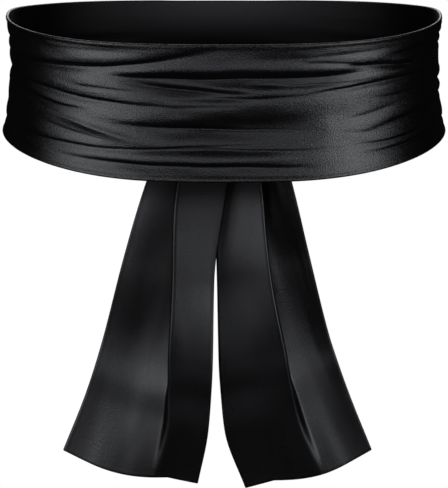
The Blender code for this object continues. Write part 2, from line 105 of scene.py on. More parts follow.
# Creases of the gathered band, one row each. Heights are shares of the band's
# height at the first azimuth, half way and at the last one. Depth, the widths
# of the groove above and below its line, and the roll above it are in mm.
# A negative depth is a ridge.
Crease = namedtuple("Crease", "place first last h_first h_half h_last depth above below roll")
CREASES = [
    Crease("front bottom, long", -58, 36, 0.090, 0.102, 0.072, 2.0, 1.7, 4.2, 0.5),
    Crease("front bottom, fine", -28, 38, 0.226, 0.219, 0.214, 0.9, 0.9, 2.6, 0.2),
    Crease("front lower, long", -96, 34, 0.120, 0.213, 0.286, 0.8, 1.0, 2.6, 0.3),
    Crease("front belly", -29, 34, 0.388, 0.370, 0.362, 4.3, 7.8, 10.0, 0.0),
    Crease("front belly, left", -38, 8, 0.398, 0.382, 0.370, 1.3, 1.4, 5.5, 0.6),
    Crease("front middle, fine", -24, 36, 0.600, 0.602, 0.632, 0.6, 0.9, 1.8, 0.3),
    Crease("right middle", 26, 78, 0.612, 0.668, 0.600, 1.6, 1.1, 2.2, 0.7),
    Crease("left middle", -88, -16, 0.610, 0.575, 0.530, 1.2, 1.0, 3.0, 0.4),
    Crease("left short", -80, -42, 0.585, 0.485, 0.475, 1.5, 1.3, 3.2, 0.5),
    Crease("left ridge", -60, -24, 0.430, 0.345, 0.250, -1.2, 2.6, 2.6, 0.0),
    Crease("front upper trough", -35, 12, 0.714, 0.658, 0.634, 3.2, 2.3, 5.0, 0.2),
    Crease("front main", -46, 54, 0.753, 0.746, 0.766, 3.8, 2.5, 5.4, 0.9),
    Crease("front main, fine", 4, 50, 0.706, 0.698, 0.698, 0.6, 0.8, 1.5, 0.2),
    Crease("left upper", -98, 4, 0.741, 0.800, 1.002, 1.9, 1.2, 3.6, 0.7),
    Crease("right upper", 38, 68, 0.825, 0.788, 0.700, 1.8, 1.2, 2.2, 0.8),
    Crease("right rim", 48, 108, 0.855, 0.880, 0.845, 1.9, 1.3, 2.2, 0.7),
    Crease("right top, short", 54, 106, 0.782, 0.800, 0.770, 1.3, 1.2, 2.0, 0.6),
    Crease("right hip", 62, 128, 0.500, 0.468, 0.450, 2.2, 1.6, 2.8, 1.0),
    Crease("right lower", 42, 114, 0.290, 0.368, 0.320, 2.0, 1.3, 2.6, 0.9),
    Crease("right bottom, fine", 40, 74, 0.212, 0.198, 0.216, 1.0, 1.0, 1.8, 0.4),
    Crease("right bottom", 40, 112, 0.132, 0.130, 0.104, 1.7, 1.2, 2.2, 0.7),
    Crease("left rim", -132, -68, 0.830, 0.852, 0.858, 2.0, 1.2, 2.4, 0.8),
    Crease("left side trough", -128, -70, 0.560, 0.585, 0.592, 1.9, 3.6, 4.6, 0.3),
    Crease("left side bottom", -136, -74, 0.200, 0.165, 0.100, 1.6, 1.2, 2.4, 0.8),
    Crease("back right, top", 104, 171, 0.845, 0.800, 0.760, 1.7, 1.3, 2.4, 0.8),
    Crease("back right, upper", 94, 170, 0.690, 0.665, 0.630, 2.4, 1.5, 2.8, 1.1),
    Crease("back right, middle", 108, 172, 0.480, 0.500, 0.505, 2.6, 1.6, 3.0, 1.2),
    Crease("back right, short", 132, 170, 0.600, 0.590, 0.565, 1.2, 1.0, 1.8, 0.5),
    Crease("back right, lower", 96, 171, 0.300, 0.345, 0.400, 2.0, 1.4, 2.6, 0.9),
    Crease("back right, bottom", 106, 168, 0.140, 0.190, 0.285, 1.7, 1.2, 2.4, 0.8),
    Crease("back left, top", -170, -112, 0.780, 0.830, 0.790, 1.5, 1.2, 2.2, 0.7),
    Crease("back left, upper", -172, -90, 0.660, 0.700, 0.740, 2.5, 1.5, 2.8, 1.1),
    Crease("back left, middle", -171, -98, 0.530, 0.510, 0.455, 2.2, 1.6, 3.0, 1.0),
    Crease("back left, fine", -168, -124, 0.440, 0.430, 0.410, 1.1, 1.0, 1.8, 0.5),
    Crease("back left, lower", -171, -88, 0.360, 0.320, 0.290, 2.4, 1.4, 2.8, 1.0),
    Crease("back left, bottom", -166, -104, 0.250, 0.175, 0.150, 1.5, 1.2, 2.2, 0.7),
]

# Finer creases and pulls that only the looks carry
FINE_CREASES = [
    Crease("front top, left", -66, -18, 0.915, 0.935, 0.930, 0.3, 0.9, 1.8, 0.2),
    Crease("front top, right", 14, 62, 0.900, 0.912, 0.935, 0.3, 0.9, 1.6, 0.2),
    Crease("left, under the rim", -78, -40, 0.735, 0.760, 0.800, 0.4, 0.8, 1.6, 0.2),
    Crease("left, above the middle", -52, -22, 0.660, 0.652, 0.640, 0.4, 0.8, 1.8, 0.2),
    Crease("left pull", -70, -44, 0.500, 0.430, 0.390, 0.5, 0.9, 1.6, 0.2),
    Crease("left pull, lower", -62, -36, 0.340, 0.290, 0.262, 0.4, 0.9, 1.6, 0.2),
    Crease("left bottom", -78, -52, 0.060, 0.062, 0.075, 0.4, 0.9, 1.4, 0.2),
    Crease("left corner", -88, -66, 0.300, 0.262, 0.215, 0.5, 0.9, 1.8, 0.2),
    Crease("front, above the belly", -30, 10, 0.545, 0.540, 0.548, 0.3, 0.7, 1.4, 0.1),
    Crease("right shoulder", 22, 46, 0.870, 0.850, 0.820, 0.4, 0.9, 1.6, 0.2),
    Crease("right pull, upper", 50, 66, 0.735, 0.765, 0.770, 0.5, 0.7, 1.3, 0.2),
    Crease("right pull", 46, 64, 0.560, 0.540, 0.555, 0.4, 0.8, 1.5, 0.2),
    Crease("right pull, middle", 38, 58, 0.420, 0.440, 0.480, 0.4, 0.8, 1.6, 0.2),
    Crease("right pull, lower", 36, 60, 0.330, 0.300, 0.325, 0.3, 0.8, 1.4, 0.1),
    Crease("right corner", 62, 88, 0.240, 0.262, 0.285, 0.6, 0.9, 1.6, 0.2),
    Crease("right corner, top", 66, 92, 0.935, 0.945, 0.930, 0.5, 0.8, 1.4, 0.2),
    Crease("right side, upper", 80, 118, 0.585, 0.600, 0.580, 0.5, 1.0, 1.8, 0.2),
    Crease("right side, lower", 84, 124, 0.200, 0.215, 0.235, 0.5, 1.0, 1.8, 0.2),
    Crease("left side, upper", -120, -84, 0.760, 0.745, 0.730, 0.5, 0.9, 1.8, 0.2),
    Crease("left side, middle", -116, -82, 0.420, 0.435, 0.470, 0.6, 1.0, 2.0, 0.2),
    Crease("left side, lower", -128, -88, 0.300, 0.275, 0.240, 0.5, 0.9, 1.6, 0.2),
    Crease("back right, rim", 118, 168, 0.925, 0.905, 0.860, 0.5, 0.9, 1.6, 0.2),
    Crease("back right, pull", 120, 171, 0.745, 0.725, 0.700, 0.5, 0.8, 1.6, 0.2),
    Crease("back right, pull, lower", 126, 170, 0.410, 0.425, 0.455, 0.5, 0.8, 1.6, 0.2),
    Crease("back right, foot", 122, 166, 0.080, 0.110, 0.180, 0.5, 0.8, 1.4, 0.2),
    Crease("back left, rim", -168, -126, 0.865, 0.900, 0.915, 0.5, 0.9, 1.6, 0.2),
    Crease("back left, pull", -171, -130, 0.600, 0.612, 0.620, 0.5, 0.8, 1.6, 0.2),
    Crease("back left, foot", -164, -120, 0.150, 0.095, 0.080, 0.5, 0.8, 1.4, 0.2),
]

# Faint folds in the plain inside of the band
INNER_CREASES = [
    Crease("inside back, line", 108, 188, 0.800, 0.792, 0.800, 0.5, 0.7, 1.2, 0.0),
    Crease("inside back, upper", -186, -120, 0.880, 0.892, 0.870, 0.3, 0.9, 1.6, 0.0),
    Crease("inside back, lower", 124, 196, 0.640, 0.620, 0.600, 0.5, 1.4, 2.4, 0.0),
    Crease("inside left", -168, -104, 0.700, 0.730, 0.760, 0.5, 1.2, 2.0, 0.0),
    Crease("inside right", 78, 124, 0.860, 0.840, 0.800, 0.4, 1.0, 2.0, 0.0),
    Crease("inside front", -60, 50, 0.560, 0.520, 0.560, 0.6, 2.0, 3.0, 0.0),
]

# Knot, from its top to its lower lip: height as a share, half width and how far
# it stands out from the band, in mm, and how round its outside is in plan.
KnotRing = namedtuple("KnotRing", "level half_width stand roundness")
KNOT_RINGS = [
    KnotRing(1.00, 14.0, 4.0, 0.80),
    KnotRing(0.965, 20.0, 10.0, 0.78),
    KnotRing(0.90, 24.6, 16.0, 0.74),
    KnotRing(0.80, 27.8, 21.6, 0.68),
    KnotRing(0.67, 29.6, 26.0, 0.60),
    KnotRing(0.53, 30.2, 29.0, 0.52),
    KnotRing(0.39, 30.0, 30.4, 0.45),
    KnotRing(0.25, 29.4, 30.6, 0.38),
    KnotRing(0.12, 28.9, 30.2, 0.32),
    KnotRing(0.03, 28.8, 29.8, 0.29),
    KnotRing(0.00, 28.6, 29.4, 0.28),
]

# Pleats that run down over the knot: where they start and end round its outside,
# in degrees from its +X side, and their depth and half width, in mm and degrees.
Pleat = namedtuple("Pleat", "top bottom depth width")
KNOT_PLEATS = [
    Pleat(50, 38, 2.0, 8),
    Pleat(80, 68, 2.8, 9),
    Pleat(99, 100, 2.1, 7),
    Pleat(124, 139, 2.6, 9),
]
KNOT_FINE_PLEATS = [
    Pleat(34, 22, 0.7, 2.6),
    Pleat(44, 30, 0.6, 2.0),
    Pleat(62, 52, 0.9, 2.4),
    Pleat(71, 58, 0.5, 1.8),
    Pleat(89, 84, 0.9, 2.6),
    Pleat(94, 92, 0.5, 1.8),
    Pleat(109, 116, 0.9, 2.4),
    Pleat(116, 126, 0.6, 2.0),
    Pleat(136, 152, 0.8, 2.6),
    Pleat(146, 164, 0.6, 2.2),
]

# Tails, one row for each section down the tail. Share of the length, the two
# edges' x and z in mm, how far across the cloth the pleat turns back and turns
# in again, in mm, and the cloth's heading in plan, in degrees, at the outer
# panel's stops, in the pleat and at the inner panel's stops. A heading of 0
# runs inwards, a negative one turns towards the front.
TailSection = namedtuple(
    "TailSection", "down outer_x inner_x outer_z inner_z back_fold front_fold outer pleat inner")
OUTER_STOPS = (0.0, 0.12, 0.30, 0.60, 1.0)
INNER_STOPS = (0.0, 0.45, 1.0)
LEFT_TAIL = [
    TailSection(0.00, -23.5, 12.5, 0, 0, 43, 77, (0, 2, 2, 3, 4), -177, (2, 2, 2)),
    TailSection(0.12, -35.0, 8.5, -32, -33, 42, 72, (-11, -6, -4, 3, 9), -171, (8, 8, 8)),
    TailSection(0.30, -53.0, 0.4, -79, -86, 45, 70, (-13, -9, -6, 2, 13), -165, (14, 14, 14)),
    TailSection(0.50, -68.5, -7.2, -132, -144, 55, 75, (-13, -9, -5, -7, 8), -162, (15, 15, 13)),
    TailSection(0.70, -82.0, -8.4, -185, -203, 61, 72, (-9, -7, -7, -14, -14), -150, (7, 6, 5)),
    TailSection(0.78, -88.3, -9.6, -206.5, -226, 65, 70, (-9, -6, -8, -12, -13), -108, (4, 3, 3)),
    TailSection(0.86, -95.5, -11.5, -228, -249, 68, 73, (-8, -5, -10, -11, -12), -60, (1, 2, 2)),
    TailSection(1.00, -110.4, -18.6, -265, -286, 70, 74, (-5, -8, -12, -7, -4), -3, (-1, 1, 4)),
]
RIGHT_TAIL = [
    TailSection(0.00, 22.8, -12.5, 0, 0, 43, 77, (0, 2, 2, 3, 4), -177, (2, 2, 2)),
    TailSection(0.12, 32.5, -9.5, -32, -33, 42, 73, (-10, 4, 26, 8, 6), -170, (6, 5, 2)),
    TailSection(0.30, 46.0, -6.0, -79, -86, 46, 70, (-12, 6, 40, 12, 8), -162, (15, 12, 2)),
    TailSection(0.50, 58.5, -4.2, -132, -144, 47, 66, (-14, 40, 3, -11, 4), -160, (17, 14, 2)),
    TailSection(0.70, 71.5, -3.0, -185, -203, 43, 55, (-12, 22, -8, -12, -13), -150, (14, 4, 0)),
    TailSection(0.78, 78.6, -1.4, -207, -227.5, 41, 47, (-11, 14, -6, -11, -12), -108, (10, 2, 0)),
    TailSection(0.86, 86.5, 1.2, -229, -252, 40, 45, (-10, 6, -4, -11, -11), -60, (3, 0, 1)),
    TailSection(1.00, 101.7, 15.3, -267, -293, 39, 43, (-4, -4, -7, -12, -7), -4, (0, 1, 4)),
]
# Columns of faces in each span between the tails' stops and folds
TAIL_SPAN_COLUMNS = (8, 10, 12, 14, 12, 10, 12, 18, 20)


class BandSettings(bpy.types.PropertyGroup):
    """Sizes of the gathered band."""

    wall: FloatProperty(
        name="Edge thickness", description="Thickness of the band at its two edges",
        default=0.0013, min=0.0005, unit="LENGTH", subtype="DISTANCE")
    least_wall: FloatProperty(
        name="Least wall", description="Least thickness of the band behind a deep fold",
        default=0.0011, min=0.0003, unit="LENGTH", subtype="DISTANCE")
    hem_height: FloatProperty(
        name="Hem height", description="Height over which the folds die out towards an edge",
        default=0.0030, min=0.0005, unit="LENGTH", subtype="DISTANCE")
    hem_fold: FloatProperty(
        name="Hem fold", description="How far the folded edge stands out from the cloth beside it",
        default=0.00050, min=0.0, unit="LENGTH", subtype="DISTANCE")
    pinch: FloatProperty(
        name="Pinch", description="Share of a fold's depth that is pinched to a sharp line",
        default=0.30, min=0.0, max=1.0, subtype="FACTOR")
    pinch_width: FloatProperty(
        name="Pinch width", description="Width over which a fold's bottom is pinched",
        default=0.0007, min=0.0001, unit="LENGTH", subtype="DISTANCE")
    wander: FloatProperty(
        name="Fold wander", description="How far a fold's line strays from its smooth course",
        default=0.00022, min=0.0, unit="LENGTH", subtype="DISTANCE")
    crumple: FloatProperty(
        name="Crumple", description="Height of the soft unevenness between the folds",
        default=0.00028, min=0.0, unit="LENGTH", subtype="DISTANCE")
    stations: IntProperty(
        name="Stations", description="Sections round the waist", default=600, min=60)
    outer_rows: IntProperty(
        name="Outer rows", description="Rows of faces up the outside", default=120, min=20)
    inner_rows: IntProperty(
        name="Inner rows", description="Rows of faces up the inside", default=22, min=6)


class KnotSettings(bpy.types.PropertyGroup):
    """Sizes of the knot."""

    rings: IntProperty(name="Rings", description="Rings from the knot's lip to its top", default=84, min=12)
    arc_points: IntProperty(
        name="Arc points", description="Points round the knot's outside", default=201, min=25)
    face_points: IntProperty(
        name="Face points", description="Points across the side that lies on the band", default=21, min=3)


class TailSettings(bpy.types.PropertyGroup):
    """Sizes of the two tails."""

    width: FloatProperty(
        name="Width", description="Width of the sash's cloth laid flat",
        default=0.107, min=0.05, unit="LENGTH", subtype="DISTANCE")
    fold_turn: FloatProperty(
        name="Fold turn", description="Half the width of cloth in which a pleat turns back",
        default=0.0020, min=0.0005, unit="LENGTH", subtype="DISTANCE")
    wall: FloatProperty(
        name="Thickness", description="Thickness of the tails' doubled cloth",
        default=0.0012, min=0.0004, unit="LENGTH", subtype="DISTANCE")
    bead: FloatProperty(
        name="Edge bead", description="How much thicker the turned edges are than the cloth",
        default=0.0003, min=0.0, unit="LENGTH", subtype="DISTANCE")
    bead_width: FloatProperty(
        name="Bead width", description="Width of the turned edges",
        default=0.0012, min=0.0003, unit="LENGTH", subtype="DISTANCE")
    ripple: FloatProperty(
        name="Ripple", description="Height of the soft unevenness of the hanging cloth",
        default=0.00022, min=0.0, unit="LENGTH", subtype="DISTANCE")
    rows: IntProperty(name="Rows", description="Rows of faces down each tail", default=170, min=20)


class SatinSettings(bpy.types.PropertyGroup):
    """Colours and weave of the satin."""

    # The satin's black, which the folds' grooves take as painted shade
    deep: FloatVectorProperty(
        name="Black", description="Colour of the satin in its folds",
        default=(0.0010, 0.0010, 0.0013), size=3, min=0.0, max=1.0, subtype="COLOR")
    # Paler black for slubs and rubbed patches, and on the folds' ridges a painted sheen
    worn_and_sheen: FloatVectorProperty(
        name="Worn black", description="Colour of the satin where folds and threads catch the light",
        default=(0.0040, 0.0040, 0.0048), size=3, min=0.0, max=1.0, subtype="COLOR")
    # Painted light: colour mixed in on the band's inside near its top edge at the back, where light falls over the
    # front rim
    inside_painted_light: FloatVectorProperty(
        name="Faded black", description="Colour of the dull side and painted light near its top edge at the back",
        default=(0.042, 0.042, 0.047), size=3, min=0.0, max=1.0, subtype="COLOR")
    lustre: FloatVectorProperty(
        name="Lustre", description="Tint of the satin's gloss",
        default=(0.93, 0.95, 1.0), size=3, min=0.0, max=1.0, subtype="COLOR")
    band_roughness: FloatProperty(
        name="Band roughness", description="Roughness of the gathered satin",
        default=0.28, min=0.05, max=1.0, subtype="FACTOR")
    tail_roughness: FloatProperty(
        name="Tail roughness", description="Roughness of the hanging satin",
        default=0.33, min=0.05, max=1.0, subtype="FACTOR")
    grain: FloatProperty(
        name="Grain", description="Size of the weave's sparkle",
        default=0.00062, min=0.0002, unit="LENGTH", subtype="DISTANCE")
    grain_height: FloatProperty(
        name="Grain height", description="Height of the weave's sparkle on the band",
        default=0.00015, min=0.0, unit="LENGTH", subtype="DISTANCE")
    thread: FloatProperty(
        name="Thread", description="Distance from thread to thread of the weave",
        default=0.00045, min=0.0001, unit="LENGTH", subtype="DISTANCE")


class StudioSettings(bpy.types.PropertyGroup):
    """Light and floor of the studio."""

    key_power: FloatProperty(
        name="Main light", description="Power of each of the two tall lights at the front, in watts",
        default=13.5, min=0.0)
    fill_power: FloatProperty(
        name="Fill light", description="Power of the low light under the camera, in watts",
        default=3.0, min=0.0)
    rear_power: FloatProperty(
        name="Rear fill", description="Power of the low light behind the sash, in watts",
        default=3.0, min=0.0)
    back_power: FloatProperty(
        name="Back light", description="Power of the high light behind, in watts",
        default=7.0, min=0.0)
    ambient: FloatProperty(
        name="Ambient", description="Brightness of the room round the sash", default=0.003, min=0.0)
    floor_drop: FloatProperty(
        name="Floor drop", description="Height of the waist above the floor",
        default=1.0, min=0.4, unit="LENGTH", subtype="DISTANCE")


def smooth(share):
    """Smooth step from 0 to 1."""
    share = np.clip(share, 0, 1)
    return share * share * (3 - 2 * share)


def soft_noise(x, y, seed, wrap=None):
    """Smooth uneven heights from -1 to 1 over cells of one unit; x repeats after wrap cells."""
    rng = np.random.default_rng(seed)
    grid = rng.uniform(-1, 1, (64, 64))
    column = np.floor(x).astype(int)
    row = np.floor(y).astype(int)
    tx = smooth(x - column)
    ty = smooth(y - row)

    def at(c, r):
        if wrap:
            c = c % wrap
        return grid[r % 64, c % 64]

    low = at(column, row) * (1 - tx) + at(column + 1, row) * tx
    high = at(column, row + 1) * (1 - tx) + at(column + 1, row + 1) * tx
    return low * (1 - ty) + high * ty


def half_width(level):
    """Half width of the ring at a share of the band's height."""
    bottom = HALF_WIDTH_BOTTOM * (1 - level) * (1 - 2 * level)
    middle = HALF_WIDTH_MIDDLE * 4 * level * (1 - level)
    top = HALF_WIDTH_TOP * level * (2 * level - 1)
    return bottom + middle + top


def edge_heights(azimuth):
    """Heights of the band's bottom and top edges at an azimuth."""
    sine = np.abs(np.sin(np.radians(azimuth)))
    front = np.cos(np.radians(azimuth)) > 0
    front_top = FRONT_TOP_DIP * (1 - sine ** FRONT_TOP_POWER)
    slow, fast = (sine ** power for power in BACK_TOP_POWERS)
    back_top = BACK_TOP_DIP * (1 - BACK_TOP_SHARE * slow - (1 - BACK_TOP_SHARE) * fast)
    top = SIDE_HALF_HEIGHT - np.where(front, front_top, back_top)
    front_bottom = -FRONT_BOTTOM_DIP * (1 - sine ** FRONT_BOTTOM_POWER)
    back_bottom = BACK_BOTTOM_RISE * (1 - sine ** BACK_BOTTOM_POWER)
    bottom = -SIDE_HALF_HEIGHT + np.where(front, front_bottom, back_bottom)
    return bottom, top


def fold_line(crease, azimuth):
    """Level of a crease's line and its strength at an azimuth."""
    share = np.clip((azimuth - crease.first) / (crease.last - crease.first), 0, 1)
    first = crease.h_first * (1 - share) * (1 - 2 * share)
    half_way = crease.h_half * 4 * share * (1 - share)
    last = crease.h_last * share * (2 * share - 1)
    strength = np.sin(np.pi * share) ** CREASE_END_POWER
    return first + half_way + last, strength


def fold_relief(creases, azimuth, level, band):
    """Sum of the creases' cross-sections, in metres: grooves with pinched bottoms, and the rolls above."""
    bottom, top = edge_heights(azimuth)
    height = (top - bottom) / MM
    wander = band.wander / MM
    pinch_width = band.pinch_width / MM
    total = np.zeros(np.broadcast(azimuth, level).shape)
    for number, crease in enumerate(creases):
        line, strength = fold_line(crease, azimuth)
        strays = np.sin(np.radians(azimuth) * (7 + number % 4) + 1.7 * number)
        strays = strays + 0.5 * np.sin(np.radians(azimuth) * (17 + number % 5) + 2.9 * number)
        above_line = (level - line) * height - wander * strays
        width = np.where(above_line > 0, crease.above, crease.below)
        groove = np.exp(-(above_line / width) ** 2)
        pinch = np.exp(-np.abs(above_line) / pinch_width)
        depth = crease.depth * ((1 - band.pinch) * groove + band.pinch * (0.5 * groove + 0.5 * pinch))
        roll_middle = crease.above + ROLL_REACH
        roll = crease.roll * np.exp(-((above_line - roll_middle) / ROLL_REACH) ** 2)
        total += strength * (roll - depth)
    return total * MM


def outer_relief(azimuth, level, band):
    """How far the gathered cloth stands out from the plain ring."""
    bottom, top = edge_heights(azimuth)
    height = top - bottom
    total = fold_relief(CREASES, azimuth, level, band) + fold_relief(FINE_CREASES, azimuth, level, band)
    around = azimuth / 360 * 48
    crumple = soft_noise(around / 3, level * height / MM / 9, 3, 16)
    crumple = crumple + 0.45 * soft_noise(around, level * height / MM / 4.5, 5, 48)
    total = total + band.crumple * crumple
    from_knot = (180 - np.abs(azimuth) - KNOT_PRESS_FROM) / (KNOT_PRESS_TO - KNOT_PRESS_FROM)
    total = np.where(total > 0, total * smooth(from_knot), total)
    from_edge = np.minimum(level, 1 - level) * height
    hem = band.hem_fold * (1 - smooth((from_edge - 0.0013) / 0.0005))
    return total * smooth(from_edge / band.hem_height) + hem * smooth(from_knot)


def ring_point(azimuth, level, offset, lift=0.0):
    """Points of the ring, moved out along its horizontal normal by an offset and up by a lift."""
    half = half_width(level)
    deep = half * DEPTH_TO_WIDTH
    sine = np.sin(np.radians(azimuth))
    cosine = np.cos(np.radians(azimuth))
    reach = np.abs(sine / half) ** RING_EXPONENT + np.abs(cosine / deep) ** RING_EXPONENT
    radius = reach ** (-1 / RING_EXPONENT)
    x = radius * sine
    y = -radius * cosine
    normal_x = np.sign(x) * np.abs(x / half) ** (RING_EXPONENT - 1) / half
    normal_y = np.sign(y) * np.abs(y / deep) ** (RING_EXPONENT - 1) / deep
    length = np.hypot(normal_x, normal_y)
    bottom, top = edge_heights(azimuth)
    z = bottom + (top - bottom) * level + lift
    return np.stack([x + offset * normal_x / length, y + offset * normal_y / length, z], -1)


def crease_rows(azimuths, rows):
    """Levels of the outer rows, drawn together near the creases, at each azimuth."""
    fine = np.linspace(0, 1, 321)
    az, level = np.meshgrid(azimuths, fine)
    bottom, top = edge_heights(az)
    height = (top - bottom) / MM
    density = np.ones_like(level)
    for crease in CREASES + FINE_CREASES:
        line, strength = fold_line(crease, az)
        from_line = (level - line) * height / (crease.above + crease.below)
        density += 0.7 * strength * abs(crease.depth) * np.exp(-from_line ** 2)
    total = np.cumsum(density, axis=0)
    total = (total - total[0]) / (total[-1] - total[0])
    wanted = np.linspace(0, 1, rows + 1)
    return np.stack([np.interp(wanted, total[:, i], fine) for i in range(len(azimuths))], 1)


def lowest_near(heights, rows, columns):
    """Each height's least value within so many rows and columns; columns go round."""
    lowest = heights
    for shift in range(-columns, columns + 1):
        lowest = np.minimum(lowest, np.roll(heights, shift, axis=1))
    padded = np.pad(lowest, ((rows, rows), (0, 0)), mode="edge")
    return np.min([padded[i:i + len(heights)] for i in range(2 * rows + 1)], axis=0)


def eased(heights, rows, columns):
    """Heights averaged over so many rows and columns; columns go round."""
    total = sum(np.roll(heights, shift, axis=1) for shift in range(-columns, columns + 1))
    total = total / (2 * columns + 1)
    padded = np.pad(total, ((rows, rows), (0, 0)), mode="edge")
    return sum(padded[i:i + len(heights)] for i in range(2 * rows + 1)) / (2 * rows + 1)


def band_loops(band):
    """Closed sections of the band, one at each station: up the outside and down the inside."""
    azimuths = np.linspace(-180, 180, band.stations, endpoint=False)
    levels = crease_rows(azimuths, band.outer_rows)
    az = np.broadcast_to(azimuths, levels.shape)
    relief = outer_relief(az, levels, band)
    outer = ring_point(az, levels, relief)

    even = np.repeat(np.linspace(0, 1, 121)[:, None], band.stations, axis=1)
    even_az = np.broadcast_to(azimuths, even.shape)
    plain = outer_relief(even_az, even, band)
    deepest = eased(lowest_near(plain, 6, 5), 5, 5) - band.least_wall
    inner_levels = np.linspace(1, 0, band.inner_rows + 1)
    rows = inner_levels * (len(even) - 1)
    low = np.clip(np.floor(rows).astype(int), 0, len(even) - 2)
    share = (rows - low)[:, None]
    inner_offset = deepest[low] * (1 - share) + deepest[low + 1] * share
    inner_levels = np.repeat(inner_levels[:, None], band.stations, axis=1)
    inner_az = np.broadcast_to(azimuths, inner_levels.shape)
    inner_offset = np.minimum(inner_offset, -band.wall)
    inner_offset = inner_offset - fold_relief(INNER_CREASES, inner_az, inner_levels, band)
    inner_offset[0] = -band.wall
    inner_offset[-1] = -band.wall
    inner = ring_point(inner_az, inner_levels, inner_offset)

    turns = []
    for edge_level, upwards, start in ((1.0, 1, relief[-1]), (0.0, -1, relief[0])):
        arc = []
        for angle in np.linspace(0, np.pi, 7)[1:-1]:
            middle = (start - band.wall) / 2
            half = (start + band.wall) / 2
            offset = middle + half * np.cos(angle)
            arc.append(ring_point(azimuths, edge_level, offset, upwards * half * np.sin(angle)))
        turns.append(np.array(arc))
    profile = np.concatenate([outer, turns[0], inner, turns[1][::-1]])
    # Painted light: the inside is painted paler towards its top edge at the back
    lit = smooth((inner_levels - INSIDE_LIT_FROM) / (1 - INSIDE_LIT_FROM))
    lit = lit * smooth((np.abs(inner_az) - INSIDE_LIT_SIDE) / INSIDE_LIT_FADE)
    ridge = np.zeros(profile.shape[:2])
    ridge[:len(relief)] = relief
    dull_side_and_painted_light = np.zeros(ridge.shape)
    dull_side_and_painted_light[len(outer) + len(turns[0]):-len(turns[1])] = 1.0
    dull_side_and_painted_light[len(outer) + len(turns[0]):-len(turns[1])] += lit
    return profile.transpose(1, 0, 2), ridge.T, dull_side_and_painted_light.T


def back_face(x, z):
    """The plain ring's y at the back, for the knot that lies on it."""
    bottom, top = edge_heights(np.float64(180.0))
    level = np.clip((z - bottom) / (top - bottom), 0, 1)
    half = half_width(level)
    return half * DEPTH_TO_WIDTH * (1 - np.abs(x / half) ** RING_EXPONENT) ** (1 / RING_EXPONENT)


def knot_loop(level, half, stand, roundness, z, knot, lip=0.0, face_lip=0.0):
    """One closed ring of the knot, its points and how far each lies in a pleat."""
    half = half * MM - lip
    angle = np.linspace(0, np.pi, knot.arc_points)
    degrees = np.degrees(angle)
    out = (stand * MM - lip) * np.sin(angle) ** roundness
    pleated = smooth((1 - level) / PLEAT_FADE)
    sunk = np.zeros_like(angle)
    for pleat in KNOT_PLEATS:
        line = pleat.bottom + (pleat.top - pleat.bottom) * level
        sunk += pleat.depth * MM * np.exp(-((degrees - line) / pleat.width) ** 2)
    for pleat in KNOT_FINE_PLEATS:
        line = pleat.bottom + (pleat.top - pleat.bottom) * level
        sunk += pleat.depth * MM * np.exp(-np.abs((degrees - line) / pleat.width) ** 1.3)
    sunk += 0.00035 * soft_noise(degrees / 14, np.full_like(degrees, level * 3.5), 11)
    out = np.maximum(out - pleated * sunk, face_lip)
    x = half * np.cos(angle)
    arc = np.stack([x, back_face(x, z) + SEAM_GAP + out, np.full_like(x, z)], -1)
    x = np.linspace(-half, half, knot.face_points + 2)[1:-1]
    face = np.stack([x, back_face(x, z) + SEAM_GAP + face_lip, np.full_like(x, z)], -1)
    ridge = np.concatenate([-sunk, np.zeros(len(x))])
    return np.concatenate([arc, face]), ridge


def knot_loops(knot):
    """Closed rings of the knot from its closed top to the recess under its lip."""
    table = np.array(KNOT_RINGS[::-1])
    loops = []
    ridges = []
    for level in np.linspace(1, 0, knot.rings):
        level = level ** 0.8
        ring = smooth_read(table[:, 0], table[:, 1:], level)
        z = KNOT_BOTTOM + (KNOT_TOP - KNOT_BOTTOM) * level
        points, ridge = knot_loop(level, ring[0], ring[1], ring[2], z, knot)
        loops.append(points)
        ridges.append(ridge)
    lowest = KNOT_RINGS[-1][1:]
    for share in (0.35, 0.8, 1.0):
        points, ridge = knot_loop(0.0, *lowest, KNOT_BOTTOM - 0.0004 * np.sin(share * np.pi),
                                  knot, KNOT_LIP * share, KNOT_FACE_LIP * share)
        loops.append(points)
        ridges.append(ridge)
    points, ridge = knot_loop(0.0, *lowest, KNOT_BOTTOM + KNOT_RECESS, knot,
                              KNOT_RECESS_INSET, KNOT_RECESS_FACE_INSET)
    loops.append(points)
    ridges.append(ridge)
    crown = loops[0]
    middle = crown.mean(0)
    tops = [middle + (crown - middle) * size + (0, 0, rise) for size, rise in ((0.12, 0.0009), (0.6, 0.0007))]
    return np.array(tops + loops), np.array([ridges[0]] * len(tops) + ridges)


def smooth_read(places, values, place):
    """Values of a table at a place, on a smooth curve through its rows that never overshoots them."""
    row = int(np.clip(np.searchsorted(places, place) - 1, 0, len(places) - 2))
    secants = np.diff(values, axis=0) / np.diff(places)[:, None]
    product = secants[:-1] * secants[1:]
    total = secants[:-1] + secants[1:]
    bends = np.where(product > 0, 2 * product / np.where(product > 0, total, 1), 0)
    slopes = np.concatenate([secants[:1], bends, secants[-1:]])
    gap = places[row + 1] - places[row]
    share = (place - places[row]) / gap
    first = values[row] * (1 + 2 * share) * (1 - share) ** 2 + slopes[row] * gap * share * (1 - share) ** 2
    second = values[row + 1] * share ** 2 * (3 - 2 * share) - slopes[row + 1] * gap * share ** 2 * (1 - share)
    return first + second


